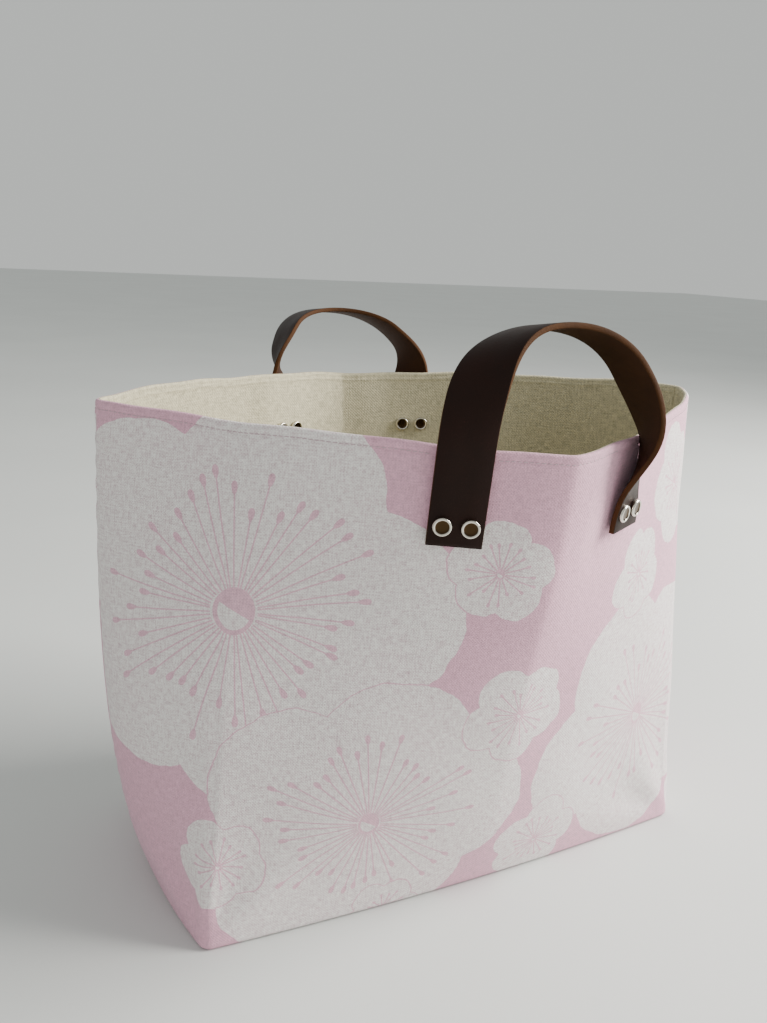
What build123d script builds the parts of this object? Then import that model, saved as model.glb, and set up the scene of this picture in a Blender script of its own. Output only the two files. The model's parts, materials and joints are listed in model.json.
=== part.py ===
from build123d import *
import math
import os

# Soft storage bin: printed linen over a stiff interlining, natural linen lining, and two leather
# strap handles that are riveted through the walls. Millimetres, +Z up. The origin is on the floor
# under the middle of the bin. +X runs from the left side seam to the right one, and -Y is the front.

# Body: a rectangular base, and a rim that the handles and the side seams pull into a rounded diamond
BASE_WIDTH = 305.0
BASE_DEPTH = 150.0
BASE_CORNER = 5.0          # how far from each base corner its rounding starts
WALL_HEIGHT = 266.0
RIM_WIDTH = 366.0
RIM_DEPTH = 265.0
RIM_POWER = 1.28           # superellipse power of the rim: 1 is a diamond, 2 an ellipse
RIM_DIP = 7.3              # how much lower the rim is at the handles than at the side seams
FRONT_BOW = 5.0            # outward bow of the long base edges
SIDE_BOW = 8.0             # outward bow of the short base edges
FRONT_BELLY = 6.0          # extra swell of the front and back walls
SIDE_BELLY = 13.0          # extra swell of the side walls
BELLY_POWER = 0.7          # below 1 puts the fullest part of the swell in the lower half

# Layers, from outside in
OUTER_THICK = 1.0
INTERLINING_THICK = 1.4
LINING_THICK = 0.8
BOARD_THICK = 2.0
BOARD_CLEARANCE = 0.5
LAYER_GAP = 0.1            # the air between two layers that lie loose on each other
INTERLINING_DEPTH = OUTER_THICK + LAYER_GAP
LINING_DEPTH = INTERLINING_DEPTH + INTERLINING_THICK + LAYER_GAP
WALL_THICK = LINING_DEPTH + LINING_THICK
BOARD_LOW = LINING_DEPTH   # height of the board's underside
RIM_TURN = 1.0             # how far below the rim the interlining ends

# Leather straps
STRAP_WIDTH = 25.4
STRAP_THICK = 3.4
STRAP_SPACING = 100.0      # between the two ends of one strap, measured along the rim
STRAP_DROP = 45.0          # from the rim down to the cut end of the strap
STRAP_GAP = 0.6            # least gap from the wall to the back of the strap
TWIST_SHARE = 0.45         # the strap has finished its twist by this share of the way to the top

# Each arch: height of the strap's outer face at the top, distance of the top from the middle of
# the bin, tip of the top's face about X in degrees, how long the arch keeps rising along its legs,
# and how long it keeps level at its top. The back handle has fallen outwards.
FRONT_ARCH = (313.0, 106.0, -8.0, 30.0, 33.0)
BACK_ARCH = (300.0, 150.0, 6.0, 20.0, 36.0)

# The place where each handle's leather flexes, just above the rim
FLEX_ABOVE_RIM = 4.0
FLEX_RADIUS = 14.0
FLEX_GAP = 0.35

# Double-cap rivets
RIVET_SPACING = 12.7
RIVET_FROM_END = 9.5
CAP_RADIUS = 4.5
CAP_HEIGHT = 2.2
CAP_EDGE = 0.9
POST_RADIUS = 1.6
HOLE_CLEARANCE = 0.05
SOCKET_DEPTH = 1.2
CAP_GAP = 0.05

HALF_WIDTH = BASE_WIDTH / 2
HALF_DEPTH = BASE_DEPTH / 2
HALF_RUN = BASE_WIDTH + BASE_DEPTH      # length of the base outline from one seam to the other
CORNER = HALF_DEPTH / HALF_RUN          # the corner's place as a share of that length
ROUNDING = BASE_CORNER / HALF_RUN
RIM_STEPS = 400
LEVELS = (0.0, 0.1, 0.3, 0.6, 1.0)


def spread(low, high, steps):
    """Evenly spaced values from low up to, but not including, high."""
    return [low + (high - low) * step / steps for step in range(steps)]


STATIONS = (
    spread(0.0, CORNER - ROUNDING, 3)
    + spread(CORNER - ROUNDING, CORNER + ROUNDING, 3)
    + spread(CORNER + ROUNDING, 1 - CORNER - ROUNDING, 12)
    + spread(1 - CORNER - ROUNDING, 1 - CORNER + ROUNDING, 3)
    + spread(1 - CORNER + ROUNDING, 1.0, 3)
    + [1.0]
)


# ---------------------------------------------------------------- the shape of the walls

def rim_points():
    """The front half of the rim in plan, from the left seam to the right one."""
    points = []
    for step in range(RIM_STEPS + 1):
        angle = math.pi * (1 + step / RIM_STEPS)
        across = math.cos(angle)
        towards = math.sin(angle)
        x = RIM_WIDTH / 2 * math.copysign(abs(across) ** (2 / RIM_POWER), across)
        y = RIM_DEPTH / 2 * math.copysign(abs(towards) ** (2 / RIM_POWER), towards)
        points.append((x, y))
    return points


def running_lengths(points):
    """Length of a polyline up to each of its points."""
    lengths = [0.0]
    for before, after in zip(points, points[1:]):
        lengths.append(lengths[-1] + math.dist(before, after))
    return lengths


RIM = rim_points()
RIM_RUN = running_lengths(RIM)


def rim_point(share):
    """Plan point of the rim at a share of its length from the left seam."""
    target = share * RIM_RUN[-1]
    index = 1
    while index < RIM_STEPS and RIM_RUN[index] < target:
        index += 1
    part = (target - RIM_RUN[index - 1]) / (RIM_RUN[index] - RIM_RUN[index - 1])
    return mix(RIM[index - 1], RIM[index], part)


def mix(first, second, part):
    """The point that lies a part of the way from first to second."""
    return tuple(a + (b - a) * part for a, b in zip(first, second))


def sharp_base_point(share):
    """Plan point of the base rectangle's front half, with sharp corners."""
    run = share * HALF_RUN
    if run <= HALF_DEPTH:
        return (-HALF_WIDTH, -run)
    if run <= HALF_DEPTH + BASE_WIDTH:
        return (run - HALF_DEPTH - HALF_WIDTH, -HALF_DEPTH)
    return (HALF_WIDTH, run - HALF_RUN)


def base_point(share):
    """The same point with each corner rounded by a short curve."""
    for corner in (CORNER, 1 - CORNER):
        if abs(share - corner) < ROUNDING:
            part = (share - corner + ROUNDING) / (2 * ROUNDING)
            start = sharp_base_point(corner - ROUNDING)
            tip = sharp_base_point(corner)
            end = sharp_base_point(corner + ROUNDING)
            return mix(mix(start, tip, part), mix(tip, end, part), part)
    return sharp_base_point(share)


def swell(share, level):
    """Outward push in X and Y that bows each wall between its corners."""
    run = share * HALF_RUN
    belly = math.sin(math.pi * level ** BELLY_POWER)
    if run < HALF_DEPTH or run > HALF_RUN - HALF_DEPTH:
        from_seam = min(run, HALF_RUN - run)
        push = (SIDE_BOW * (1 - level) + SIDE_BELLY * belly) * (1 - (from_seam / HALF_DEPTH) ** 2)
        return (-push if run < HALF_DEPTH else push, 0.0)
    from_middle = run - HALF_DEPTH - HALF_WIDTH
    push = (FRONT_BOW * (1 - level) + FRONT_BELLY * belly) * (1 - (from_middle / HALF_WIDTH) ** 2)
    return (0.0, -push)


def outline(share, level):
    """Plan point of the outer fabric's outside face at a level from 0, the floor, to 1, the rim."""
    x, y = mix(base_point(share), rim_point(share), level)
    push_x, push_y = swell(share, level)
    return (x + push_x, y + push_y)


def inset(share, level, depth):
    """The outline's point moved straight inwards by depth."""
    x, y = outline(share, level)
    if share in (0.0, 1.0):
        return (x + depth if share == 0.0 else x - depth, 0.0)
    nudge = 0.002
    ahead = outline(min(share + nudge, 1.0), level)
    behind = outline(max(share - nudge, 0.0), level)
    length = math.dist(ahead, behind)
    return (x - depth * (ahead[1] - behind[1]) / length, y + depth * (ahead[0] - behind[0]) / length)


def rim_height(y):
    """Height of the rim over a plan point that is y from the middle."""
    return WALL_HEIGHT - RIM_DIP * (y / (RIM_DEPTH / 2)) ** 2


def wall_point(share, height, depth=0.0):
    """A point of the wall in space, depth inside its outside face."""
    x, y = inset(share, height / WALL_HEIGHT, depth)
    return Vector(x, y, height)


# ---------------------------------------------------------------- fabric layers

def half_outline(level, depth):
    """Spline along the front half of the wall at one level."""
    points = [inset(share, level, depth) for share in STATIONS]
    return Spline(*points)


def layer_section(level, near, far):
    """Horizontal cut of a layer that lies between two depths, front half."""
    outside = half_outline(level, near)
    inside = half_outline(level, far)
    right = Line(outside @ 1, inside @ 1)
    left = Line(inside @ 0, outside @ 0)
    return make_face(outside + right + inside + left)


def layer_wall(near, far):
    """Front half of a layer's wall, from the floor to the full height."""
    return loft([Pos(0, 0, level * WALL_HEIGHT) * layer_section(level, near, far) for level in LEVELS])


def above_rim(lowered):
    """Everything above the dipping rim, lowered by a distance."""
    reach = RIM_DEPTH / 2 + 20
    steps = 12
    crest = []
    for step in range(steps + 1):
        y = -reach + 2 * reach * step / steps
        crest.append((y, rim_height(y) - lowered))
    edge = Spline(*crest)
    top = WALL_HEIGHT + 30
    frame = Polyline(edge @ 1, (reach, top), (-reach, top), edge @ 0)
    profile = Plane.YZ * make_face(edge + frame)
    return extrude(profile, amount=RIM_WIDTH / 2 + 30, both=True)


def below(height):
    """Everything below a height."""
    return Pos(0, 0, height - 50) * Box(600, 600, 100)


def base_sheet(depth, low, high):
    """Front half of a flat sheet that fills the outline at its own height."""
    edge = half_outline(low / WALL_HEIGHT, depth)
    sheet = make_face(edge + Line(edge @ 1, edge @ 0))
    return extrude(Pos(0, 0, low) * sheet, amount=high - low)


def fabric_panel(near, far, low, thick, top_drop):
    """One panel: its wall between two depths, and its half of the base from a height up."""
    wall = layer_wall(near, far) - below(low) - above_rim(top_drop)
    return wall + base_sheet((near + far) / 2, low, low + thick)


def rivet_holes(radius):
    """Cylinders through every layer, one on each rivet's axis, for the front wall."""
    reach = 40.0
    holes = []
    for end in strap_ends():
        for rivet in rivet_planes(end):
            holes.append(rivet * Cylinder(radius, reach))
    return holes


# ---------------------------------------------------------------- straps

def strap_end(share):
    """Plane on the back of a strap end: origin at the rim, X across the strap, Y up it, Z outwards."""
    x, y = outline(share, 1.0)
    top = rim_height(y)
    bottom = top - STRAP_DROP
    up = (wall_point(share, top) - wall_point(share, bottom)).normalized()
    middle = top - STRAP_DROP / 2
    step = STRAP_WIDTH / 4 / HALF_RUN
    across = wall_point(share + step, middle) - wall_point(share - step, middle)
    outwards = across.cross(up).normalized()
    plane = Plane(origin=wall_point(share, top), x_dir=up.cross(outwards), z_dir=outwards)
    return clear_of_wall(plane, share, bottom, top)


def clear_of_wall(plane, share, bottom, top):
    """The plane moved outwards until the whole strap end clears the wall."""
    furthest = 0.0
    reach = STRAP_WIDTH / 2 / RIM_RUN[-1]
    for step in range(-4, 5):
        for height in spread(bottom, top, 6) + [top]:
            point = wall_point(share + reach * step / 4, height)
            furthest = max(furthest, (point - plane.origin).dot(plane.z_dir))
    return plane.offset(furthest + STRAP_GAP)


def strap_ends():
    """The two end planes of the front strap, left then right."""
    offset = STRAP_SPACING / 2 / RIM_RUN[-1]
    return [strap_end(0.5 - offset), strap_end(0.5 + offset)]


def bezier(first, second, third, fourth, part):
    """Point and direction of a cubic curve at a part of its way."""
    rest = 1 - part
    point = (first * rest ** 3 + second * (3 * rest ** 2 * part)
             + third * (3 * rest * part ** 2) + fourth * part ** 3)
    direction = ((second - first) * rest ** 2 + (third - second) * (2 * rest * part)
                 + (fourth - third) * part ** 2)
    return point, direction.normalized()


def strap_section(point, direction, across):
    """Cross-section of the strap at a point of its middle line."""
    square = (across - direction * across.dot(direction)).normalized()
    return Plane(origin=point, x_dir=square, z_dir=direction) * Rectangle(STRAP_WIDTH, STRAP_THICK)


def half_arch(left, arch):
    """Sections from the rim at the left end to the top of the arch, where the strap lies face up."""
    top, distance, tip, leg_pull, crown_pull = arch
    start = left.origin + left.z_dir * (STRAP_THICK / 2)
    crown = Vector(0, -distance, top - STRAP_THICK / 2)
    level = Vector(1, 0, 0)
    front = Vector(0, -math.cos(math.radians(tip)), -math.sin(math.radians(tip)))
    steps = 11
    sections = []
    for step in range(steps + 1):
        part = step / steps
        point, direction = bezier(start, start + left.y_dir * leg_pull, crown - level * crown_pull,
                                  crown, part)
        twisted = min(part / TWIST_SHARE, 1.0)
        turn = twisted * twisted * (3 - 2 * twisted)
        across = left.x_dir * (1 - turn) + front * turn
        sections.append(strap_section(point, direction, across))
    return sections


def whole_strap(arch):
    """A strap on the front wall, from one cut end over the arch to the other."""
    left, right = strap_ends()
    half = half_arch(left, arch)
    sections = half + [mirror(section, about=Plane.YZ) for section in reversed(half[:-1])]
    strap = loft(sections)
    for end in (left, right):
        strap = strap + strap_plate(end)
    return strap


def strap_plate(end):
    """The flat length of strap that lies on the wall below the rim."""
    overlap = 0.5
    length = STRAP_DROP + overlap
    return end * (Pos(0, overlap - length / 2, STRAP_THICK / 2) * Box(STRAP_WIDTH, length, STRAP_THICK))


def flex_point():
    """The point on the flex axis over the front wall."""
    left = strap_ends()[0]
    y = left.origin.Y + left.z_dir.Y * STRAP_THICK / 2
    return Vector(0, y, rim_height(y) + FLEX_ABOVE_RIM)


def flex_drum(radius):
    """A round bar along the flex axis."""
    return Pos(*flex_point()) * Rot(0, 90, 0) * Cylinder(radius, RIM_WIDTH)


def strap_parts(shape):
    """A strap cut at its flex axis into a moving arch and two fixed ends."""
    strap = whole_strap(shape)
    fixed_zone = below(flex_point().Z)
    arch = strap - fixed_zone - flex_drum(FLEX_RADIUS + FLEX_GAP)
    fixed = strap & (fixed_zone + flex_drum(FLEX_RADIUS))
    for hole in rivet_holes(POST_RADIUS + HOLE_CLEARANCE):
        fixed = fixed - hole
    left, right = sorted(fixed.solids(), key=lambda solid: solid.center().X)
    return arch, left, right


# ---------------------------------------------------------------- rivets

def rivet_planes(end):
    """Planes on the back face of the strap at its two rivets, Z along each rivet to the outside."""
    height = RIVET_FROM_END - STRAP_DROP
    return [end * Pos(side * RIVET_SPACING / 2, height, 0) for side in (-1, 1)]


def cap_blank():
    """A low round cap with a rounded edge, standing on z = 0."""
    blank = Pos(0, 0, CAP_HEIGHT / 2) * Cylinder(CAP_RADIUS, CAP_HEIGHT)
    return fillet(blank.edges().sort_by(Axis.Z)[-1], CAP_EDGE)


def lining_depth(rivet, share):
    """How far behind the strap's back face the lining lies, at its furthest under the inner cap."""
    origin = rivet.position
    axis = Plane(rivet).z_dir
    deepest = 0.0
    spot = share_near(origin, share)
    reach = CAP_RADIUS / RIM_RUN[-1]
    for across in (-1, 0, 1):
        for along in (-1, 0, 1):
            point = wall_point(spot + across * reach, origin.Z + along * CAP_RADIUS, WALL_THICK)
            deepest = max(deepest, (origin - point).dot(axis))
    return deepest


def share_near(point, share):
    """The share of the wall's length that lies nearest to a point."""
    best = share
    for step in range(-60, 61):
        trial = share + step * 0.001
        if (wall_point(trial, point.Z) - point).length < (wall_point(best, point.Z) - point).length:
            best = trial
    return best


def rivet_pair(end, share):
    """The outer caps, and the inner caps with their posts, of one strap end."""
    caps = []
    posts = []
    socket = Cylinder(POST_RADIUS + HOLE_CLEARANCE, 2 * SOCKET_DEPTH)
    for rivet in rivet_planes(end):
        front = STRAP_THICK + CAP_GAP
        caps.append(rivet * (Pos(0, 0, front) * (cap_blank() - socket)))
        back = lining_depth(rivet, share) + CAP_GAP
        length = back + front + SOCKET_DEPTH - CAP_GAP
        post = Pos(0, 0, length / 2 - back) * Cylinder(POST_RADIUS, length)
        head = Pos(0, 0, -back) * Rot(180, 0, 0) * cap_blank()
        posts.append(rivet * (post + head))
    return Compound(children=caps), Compound(children=posts)


# ---------------------------------------------------------------- the assembly

def to_back(shape):
    """The same piece on the other side of the bin."""
    return mirror(shape, about=Plane.XZ)


def panels():
    """The three fabric layers of the front half, by name, with their rivet holes."""
    lining_low = BOARD_LOW + BOARD_THICK + LAYER_GAP
    layers = {
        "outer": fabric_panel(0, OUTER_THICK, 0, OUTER_THICK, 0),
        "interlining": fabric_panel(INTERLINING_DEPTH, INTERLINING_DEPTH + INTERLINING_THICK,
                                    INTERLINING_DEPTH, INTERLINING_THICK, RIM_TURN),
        "lining": fabric_panel(LINING_DEPTH, WALL_THICK, lining_low, LINING_THICK, 0),
    }
    for hole in rivet_holes(POST_RADIUS + HOLE_CLEARANCE):
        for name in layers:
            layers[name] = layers[name] - hole
    return layers


def base_board():
    """The stiff board between the interlining and the lining of the base."""
    half = base_sheet(LINING_DEPTH + BOARD_CLEARANCE, BOARD_LOW, BOARD_LOW + BOARD_THICK)
    return half + to_back(half)


def save(shape, name):
    """Write one node."""
    export_step(shape, f"parts/{name}.step")


def build():
    """Make every node and write it."""
    os.makedirs("parts", exist_ok=True)
    for name, shape in panels().items():
        save(shape, f"{name}_front_panel")
        save(to_back(shape), f"{name}_back_panel")
    save(base_board(), "base_stiffener_board")

    for side, shape in (("front", FRONT_ARCH), ("back", BACK_ARCH)):
        for part, name in zip(strap_parts(shape), ("handle_arch", "strap_end_left", "strap_end_right")):
            save(part if side == "front" else to_back(part), f"{side}_{name}")

    shares = (0.5 - STRAP_SPACING / 2 / RIM_RUN[-1], 0.5 + STRAP_SPACING / 2 / RIM_RUN[-1])
    for side, end, share in zip(("left", "right"), strap_ends(), shares):
        caps, posts = rivet_pair(end, share)
        save(caps, f"front_{side}_rivet_caps")
        save(posts, f"front_{side}_rivet_posts")
        save(to_back(caps), f"back_{side}_rivet_caps")
        save(to_back(posts), f"back_{side}_rivet_posts")

    point = flex_point()
    print("flex axis at y", round(point.Y, 3), "z", round(point.Z, 3))


build()
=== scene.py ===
# %% [markdown]
# # A soft storage bin in printed linen
#
# The bin is two linen panels sewn together at the sides, a stiff interlining, a natural linen lining
# and two leather strap handles riveted through the walls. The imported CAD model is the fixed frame:
# it holds the sizes, the joints and the collision. This lesson builds what the eye sees around it.

# %% Load the frame
import json
import math
import bpy
import bmesh
import numpy as np
from mathutils import Matrix, Vector


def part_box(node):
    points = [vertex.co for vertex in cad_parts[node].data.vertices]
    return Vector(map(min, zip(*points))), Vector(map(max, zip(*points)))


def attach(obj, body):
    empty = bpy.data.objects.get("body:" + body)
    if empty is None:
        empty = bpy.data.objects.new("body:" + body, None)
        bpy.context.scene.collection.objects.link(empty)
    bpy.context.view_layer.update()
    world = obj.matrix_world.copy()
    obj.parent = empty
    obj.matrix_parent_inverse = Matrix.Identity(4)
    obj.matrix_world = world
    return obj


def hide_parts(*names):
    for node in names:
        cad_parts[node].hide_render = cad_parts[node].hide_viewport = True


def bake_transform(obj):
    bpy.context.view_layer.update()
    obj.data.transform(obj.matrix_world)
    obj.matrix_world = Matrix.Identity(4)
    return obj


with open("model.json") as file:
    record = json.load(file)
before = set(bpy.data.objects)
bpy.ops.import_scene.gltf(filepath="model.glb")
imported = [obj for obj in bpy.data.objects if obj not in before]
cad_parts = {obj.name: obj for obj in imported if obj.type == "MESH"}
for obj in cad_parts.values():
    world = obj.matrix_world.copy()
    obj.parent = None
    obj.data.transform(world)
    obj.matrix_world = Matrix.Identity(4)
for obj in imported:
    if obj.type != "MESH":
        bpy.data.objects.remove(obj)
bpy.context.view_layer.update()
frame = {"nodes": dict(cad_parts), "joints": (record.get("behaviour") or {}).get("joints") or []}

# %% [markdown]
# ## Driving sizes
#
# Cloth is soft, so the walls follow a rule instead of a drawing. Each vertical thread runs from a
# crisp base rectangle to a rim that the handles pull into a rounded diamond. The same few sizes
# drive the CAD solids, so the cloth lands where its solid is. They are in millimetres.

# %% Sizes
MM = 0.001
BASE_WIDTH, BASE_DEPTH, BASE_CORNER = 305.0, 150.0, 5.0
WALL_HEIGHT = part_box("outer_front_panel")[1].z / MM
RIM_WIDTH = 366.0
RIM_DEPTH = -2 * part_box("outer_front_panel")[0].y / MM
RIM_POWER, RIM_DIP = 1.28, 7.3
FRONT_BOW, SIDE_BOW = 5.0, 8.0
FRONT_BELLY, SIDE_BELLY, BELLY_POWER = 6.0, 13.0, 0.7
HALF_WIDTH, HALF_DEPTH = BASE_WIDTH / 2, BASE_DEPTH / 2
HALF_RUN = BASE_WIDTH + BASE_DEPTH
FOLD = 1.55               # radius of the turned edge at the rim
FLOOR_ROLL = 3.0          # radius of the soft edge where the walls turn under
STITCH_DROP = 4.4         # from the rim down to the topstitching
CLOTH = 0.9               # thickness of the outer linen as it looks with its seam allowance
LINING_DEPTH = 2.3        # the lining's face lies this far in, plus its own thickness
STRAP_WIDTH, STRAP_THICK = 25.4, 3.4
STRAP_SPACING, STRAP_DROP, STRAP_GAP = 100.0, 45.0, 0.6
LEATHER_THICK = 2.7       # leather as drawn, thinner than the solid strap; both share the outer face
# each arch: height of its top, distance of the top from the middle, tip of the top's face in
# degrees, how long it keeps rising, and how long it keeps level
ARCHES = {"front": (313.0, 106.0, -8.0, 30.0, 33.0), "back": (300.0, 150.0, 6.0, 20.0, 36.0)}
RIVET_SPACING, RIVET_FROM_END = 12.7, 9.5
FLEX_Y, FLEX_Z = (abs(v) / MM for v in frame["joints"][0]["pos_m"][1:])
print("wall height", round(WALL_HEIGHT, 2), "rim depth", round(RIM_DEPTH, 2), "flex", round(FLEX_Y, 1))

# %% [markdown]
# ## The rule for the walls
#
# `outline` gives plan points of the outer face. `share` runs from 0 at the left seam to 1 at the
# right one, and `level` from 0 at the floor to 1 at the full height. The walls swell a little
# between their corners, as cloth does when a bin has held things.

# %% Wall rule
angles = np.pi * (1 + np.linspace(0, 1, 1601))
RIM_X = RIM_WIDTH / 2 * np.sign(np.cos(angles)) * abs(np.cos(angles)) ** (2 / RIM_POWER)
RIM_Y = RIM_DEPTH / 2 * np.sign(np.sin(angles)) * abs(np.sin(angles)) ** (2 / RIM_POWER)
RIM_RUN = np.concatenate([[0], np.cumsum(np.hypot(np.diff(RIM_X), np.diff(RIM_Y)))])
RIM_LENGTH = RIM_RUN[-1]


def base_sharp(run):
    """Plan points of the base rectangle's front half, at lengths from the left seam."""
    x = np.clip(run - HALF_DEPTH, 0, BASE_WIDTH) - HALF_WIDTH
    y = -np.minimum(np.minimum(run, HALF_RUN - run), HALF_DEPTH)
    return x, y


def base_outline(share):
    """The same points with each corner rounded by a short curve."""
    run = share * HALF_RUN
    x, y = base_sharp(run)
    for corner in (HALF_DEPTH, HALF_RUN - HALF_DEPTH):
        part = np.clip((run - corner + BASE_CORNER) / (2 * BASE_CORNER), 0, 1)
        near = abs(run - corner) < BASE_CORNER
        ends = [base_sharp(np.array(corner + step)) for step in (-BASE_CORNER, 0, BASE_CORNER)]
        weights = [(1 - part) ** 2, 2 * part * (1 - part), part ** 2]
        x = np.where(near, sum(w * e[0] for w, e in zip(weights, ends)), x)
        y = np.where(near, sum(w * e[1] for w, e in zip(weights, ends)), y)
    return x, y


def outline(share, level):
    """Plan points of the outer face of the front half."""
    bx, by = base_outline(share)
    rx = np.interp(share * RIM_LENGTH, RIM_RUN, RIM_X)
    ry = np.interp(share * RIM_LENGTH, RIM_RUN, RIM_Y)
    x, y = bx + (rx - bx) * level, by + (ry - by) * level
    run = share * HALF_RUN
    belly = np.sin(np.pi * np.clip(level, 0, 1) ** BELLY_POWER)
    on_side = (run < HALF_DEPTH) | (run > HALF_RUN - HALF_DEPTH)
    from_seam = np.minimum(run, HALF_RUN - run)
    side = (SIDE_BOW * (1 - level) + SIDE_BELLY * belly) * (1 - (from_seam / HALF_DEPTH) ** 2) * on_side
    from_middle = (run - HALF_RUN / 2) / HALF_WIDTH
    front = (FRONT_BOW * (1 - level) + FRONT_BELLY * belly) * (1 - from_middle ** 2) * ~on_side
    return x + np.where(share < 0.5, -side, side), y - front


def inset(share, level, depth):
    """Outline points moved straight inwards by depth."""
    share, level = np.broadcast_arrays(np.asarray(share, float), np.asarray(level, float))
    nudge = 0.0025
    ax, ay = outline(np.minimum(share + nudge, 1), level)
    bx, by = outline(np.maximum(share - nudge, 0), level)
    length = np.hypot(ax - bx, ay - by)
    inx, iny = -(ay - by) / length, (ax - bx) / length
    at_seam = (share <= 0) | (share >= 1)
    inx = np.where(at_seam, np.where(share < 0.5, 1.0, -1.0), inx)
    iny = np.where(at_seam, 0.0, iny)
    x, y = outline(share, level)
    return x + depth * inx, y + depth * iny


def rim_height(share):
    """Height of the rim: it dips towards the handles."""
    y = np.interp(share * RIM_LENGTH, RIM_RUN, RIM_Y)
    return WALL_HEIGHT - RIM_DIP * (y / (RIM_DEPTH / 2)) ** 2


def smooth(value, low, high):
    """0 below low, 1 above high, and an easy curve between."""
    part = np.clip((value - low) / (high - low), 0, 1)
    return part * part * (3 - 2 * part)


# %% [markdown]
# ## How the cloth gives
#
# A ruled surface looks like card. Linen shows slow hollows, creases that fan out of the base
# corners, and puckers where a seam was sewn. `give` adds them in millimetres, outwards positive,
# and leaves the cloth flat under the leather, where the rivets hold it.

# %% Softness
def wave(share, seed):
    """A slight unevenness of the rim's height."""
    run = share * HALF_RUN
    from_seam = np.minimum(run, HALF_RUN - run)
    return (0.5 * np.sin(run / 19 + seed) + 0.3 * np.sin(run / 8.3 + 2 * seed)) * smooth(from_seam, 0, 20)


def give(share, z, seed):
    """Outward displacement of the cloth, in millimetres."""
    run = share * HALF_RUN
    t = z / WALL_HEIGHT
    from_seam = np.minimum(run, HALF_RUN - run)
    shift = seed * 1.7
    slow = (1.5 * np.sin(run / 41 + z / 63 + shift) * np.sin(z / 57 + 0.6 * shift)
            + 0.8 * np.sin(run / 23 - z / 38 + 2.1 * shift)
            + 0.35 * np.sin(run / 11 + z / 29 + 1.3 + shift) * np.sin(z / 21 + shift))
    slow *= smooth(t, 0.0, 0.15) * smooth(from_seam, 0, 14)
    fan = 0
    for corner, side in ((HALF_DEPTH, 1), (HALF_RUN - HALF_DEPTH, -1)):
        away = np.hypot(run - corner, z)
        angle = np.arctan2(z, side * (run - corner))
        fan = fan + (1.3 * np.sin(angle * 7 + 0.8 * side + shift)
                     * np.exp(-((away - 38) / 26) ** 2) * smooth(z, 2, 26))
    tabs = 1.0
    for middle in (HALF_RUN / 2 - STRAP_SPACING / 2, HALF_RUN / 2 + STRAP_SPACING / 2):
        over = np.maximum(abs(run - middle) - 14, 0)
        under = np.maximum(WALL_HEIGHT - STRAP_DROP - 12 - z, 0)
        tabs = tabs * smooth(np.hypot(over, under), 0, 22)
    seam = -0.9 * np.exp(-(from_seam / 1.5) ** 2)
    pucker = (0.3 * np.sin(z / 2.3 + 2.0 * np.sin(z / 13 + shift)) * (0.5 + 0.5 * np.sin(z / 31 + shift))
              * np.exp(-(from_seam / 5) ** 2) * smooth(from_seam, 0, 1.5))
    from_rim = rim_height(share) + wave(share, seed) - z
    groove = -0.28 * np.exp(-((from_rim - STITCH_DROP) / 1.0) ** 2) * smooth(from_seam, 0, 2)
    return (slow + fan) * tabs + seam + pucker + groove


# %% [markdown]
# ## Node trees from one helper
#
# Every finish below is a small tree of nodes. `add` makes one node, sets it, and fills or links
# its inputs, so each finish reads as a list of steps.

# %% Colour and node helpers
def colour(code):
    """A linear colour from an sRGB hex value."""
    channels = [int(code[i:i + 2], 16) / 255 for i in (0, 2, 4)]
    return [c / 12.92 if c <= 0.04045 else ((c + 0.055) / 1.055) ** 2.4 for c in channels] + [1.0]


MATH = "ShaderNodeMath"


def add(tree, kind, *values, **settings):
    """Adds a node and fills its inputs in order, or by name from a dictionary.

    A value is a number, a list, a socket, or a node whose first output is linked.
    """
    made = tree.nodes.new(kind)
    for name, value in settings.items():
        setattr(made, name, value)
    named = values[0] if values and isinstance(values[0], dict) else dict(enumerate(values))
    for key, value in named.items():
        socket = made.inputs[key]
        if isinstance(value, bpy.types.Node):
            tree.links.new(value.outputs[0], socket)
        elif isinstance(value, bpy.types.NodeSocket):
            tree.links.new(value, socket)
        else:
            socket.default_value = value
    return made


def finish(name):
    """A new material and its tree, with the default shader."""
    material = bpy.data.materials.new(name)
    material.use_nodes = True
    return material, material.node_tree, material.node_tree.nodes["Principled BSDF"]


# %% [markdown]
# ## A printed blossom
#
# The print is a scatter of round blossoms. One node group draws any of them from its middle,
# radius, turn and stamen count, in millimetres on the cloth. Petals are a lobed disc, and stamens
# are thin rays of uneven length with a small anther at the tip. It is a group so that the same
# drawing serves all sizes.

# %% Blossom group
PETAL_OFFSET, PETAL_SIZE = 0.52, 0.48     # a petal disc's distance and radius, as shares of the flower


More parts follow.
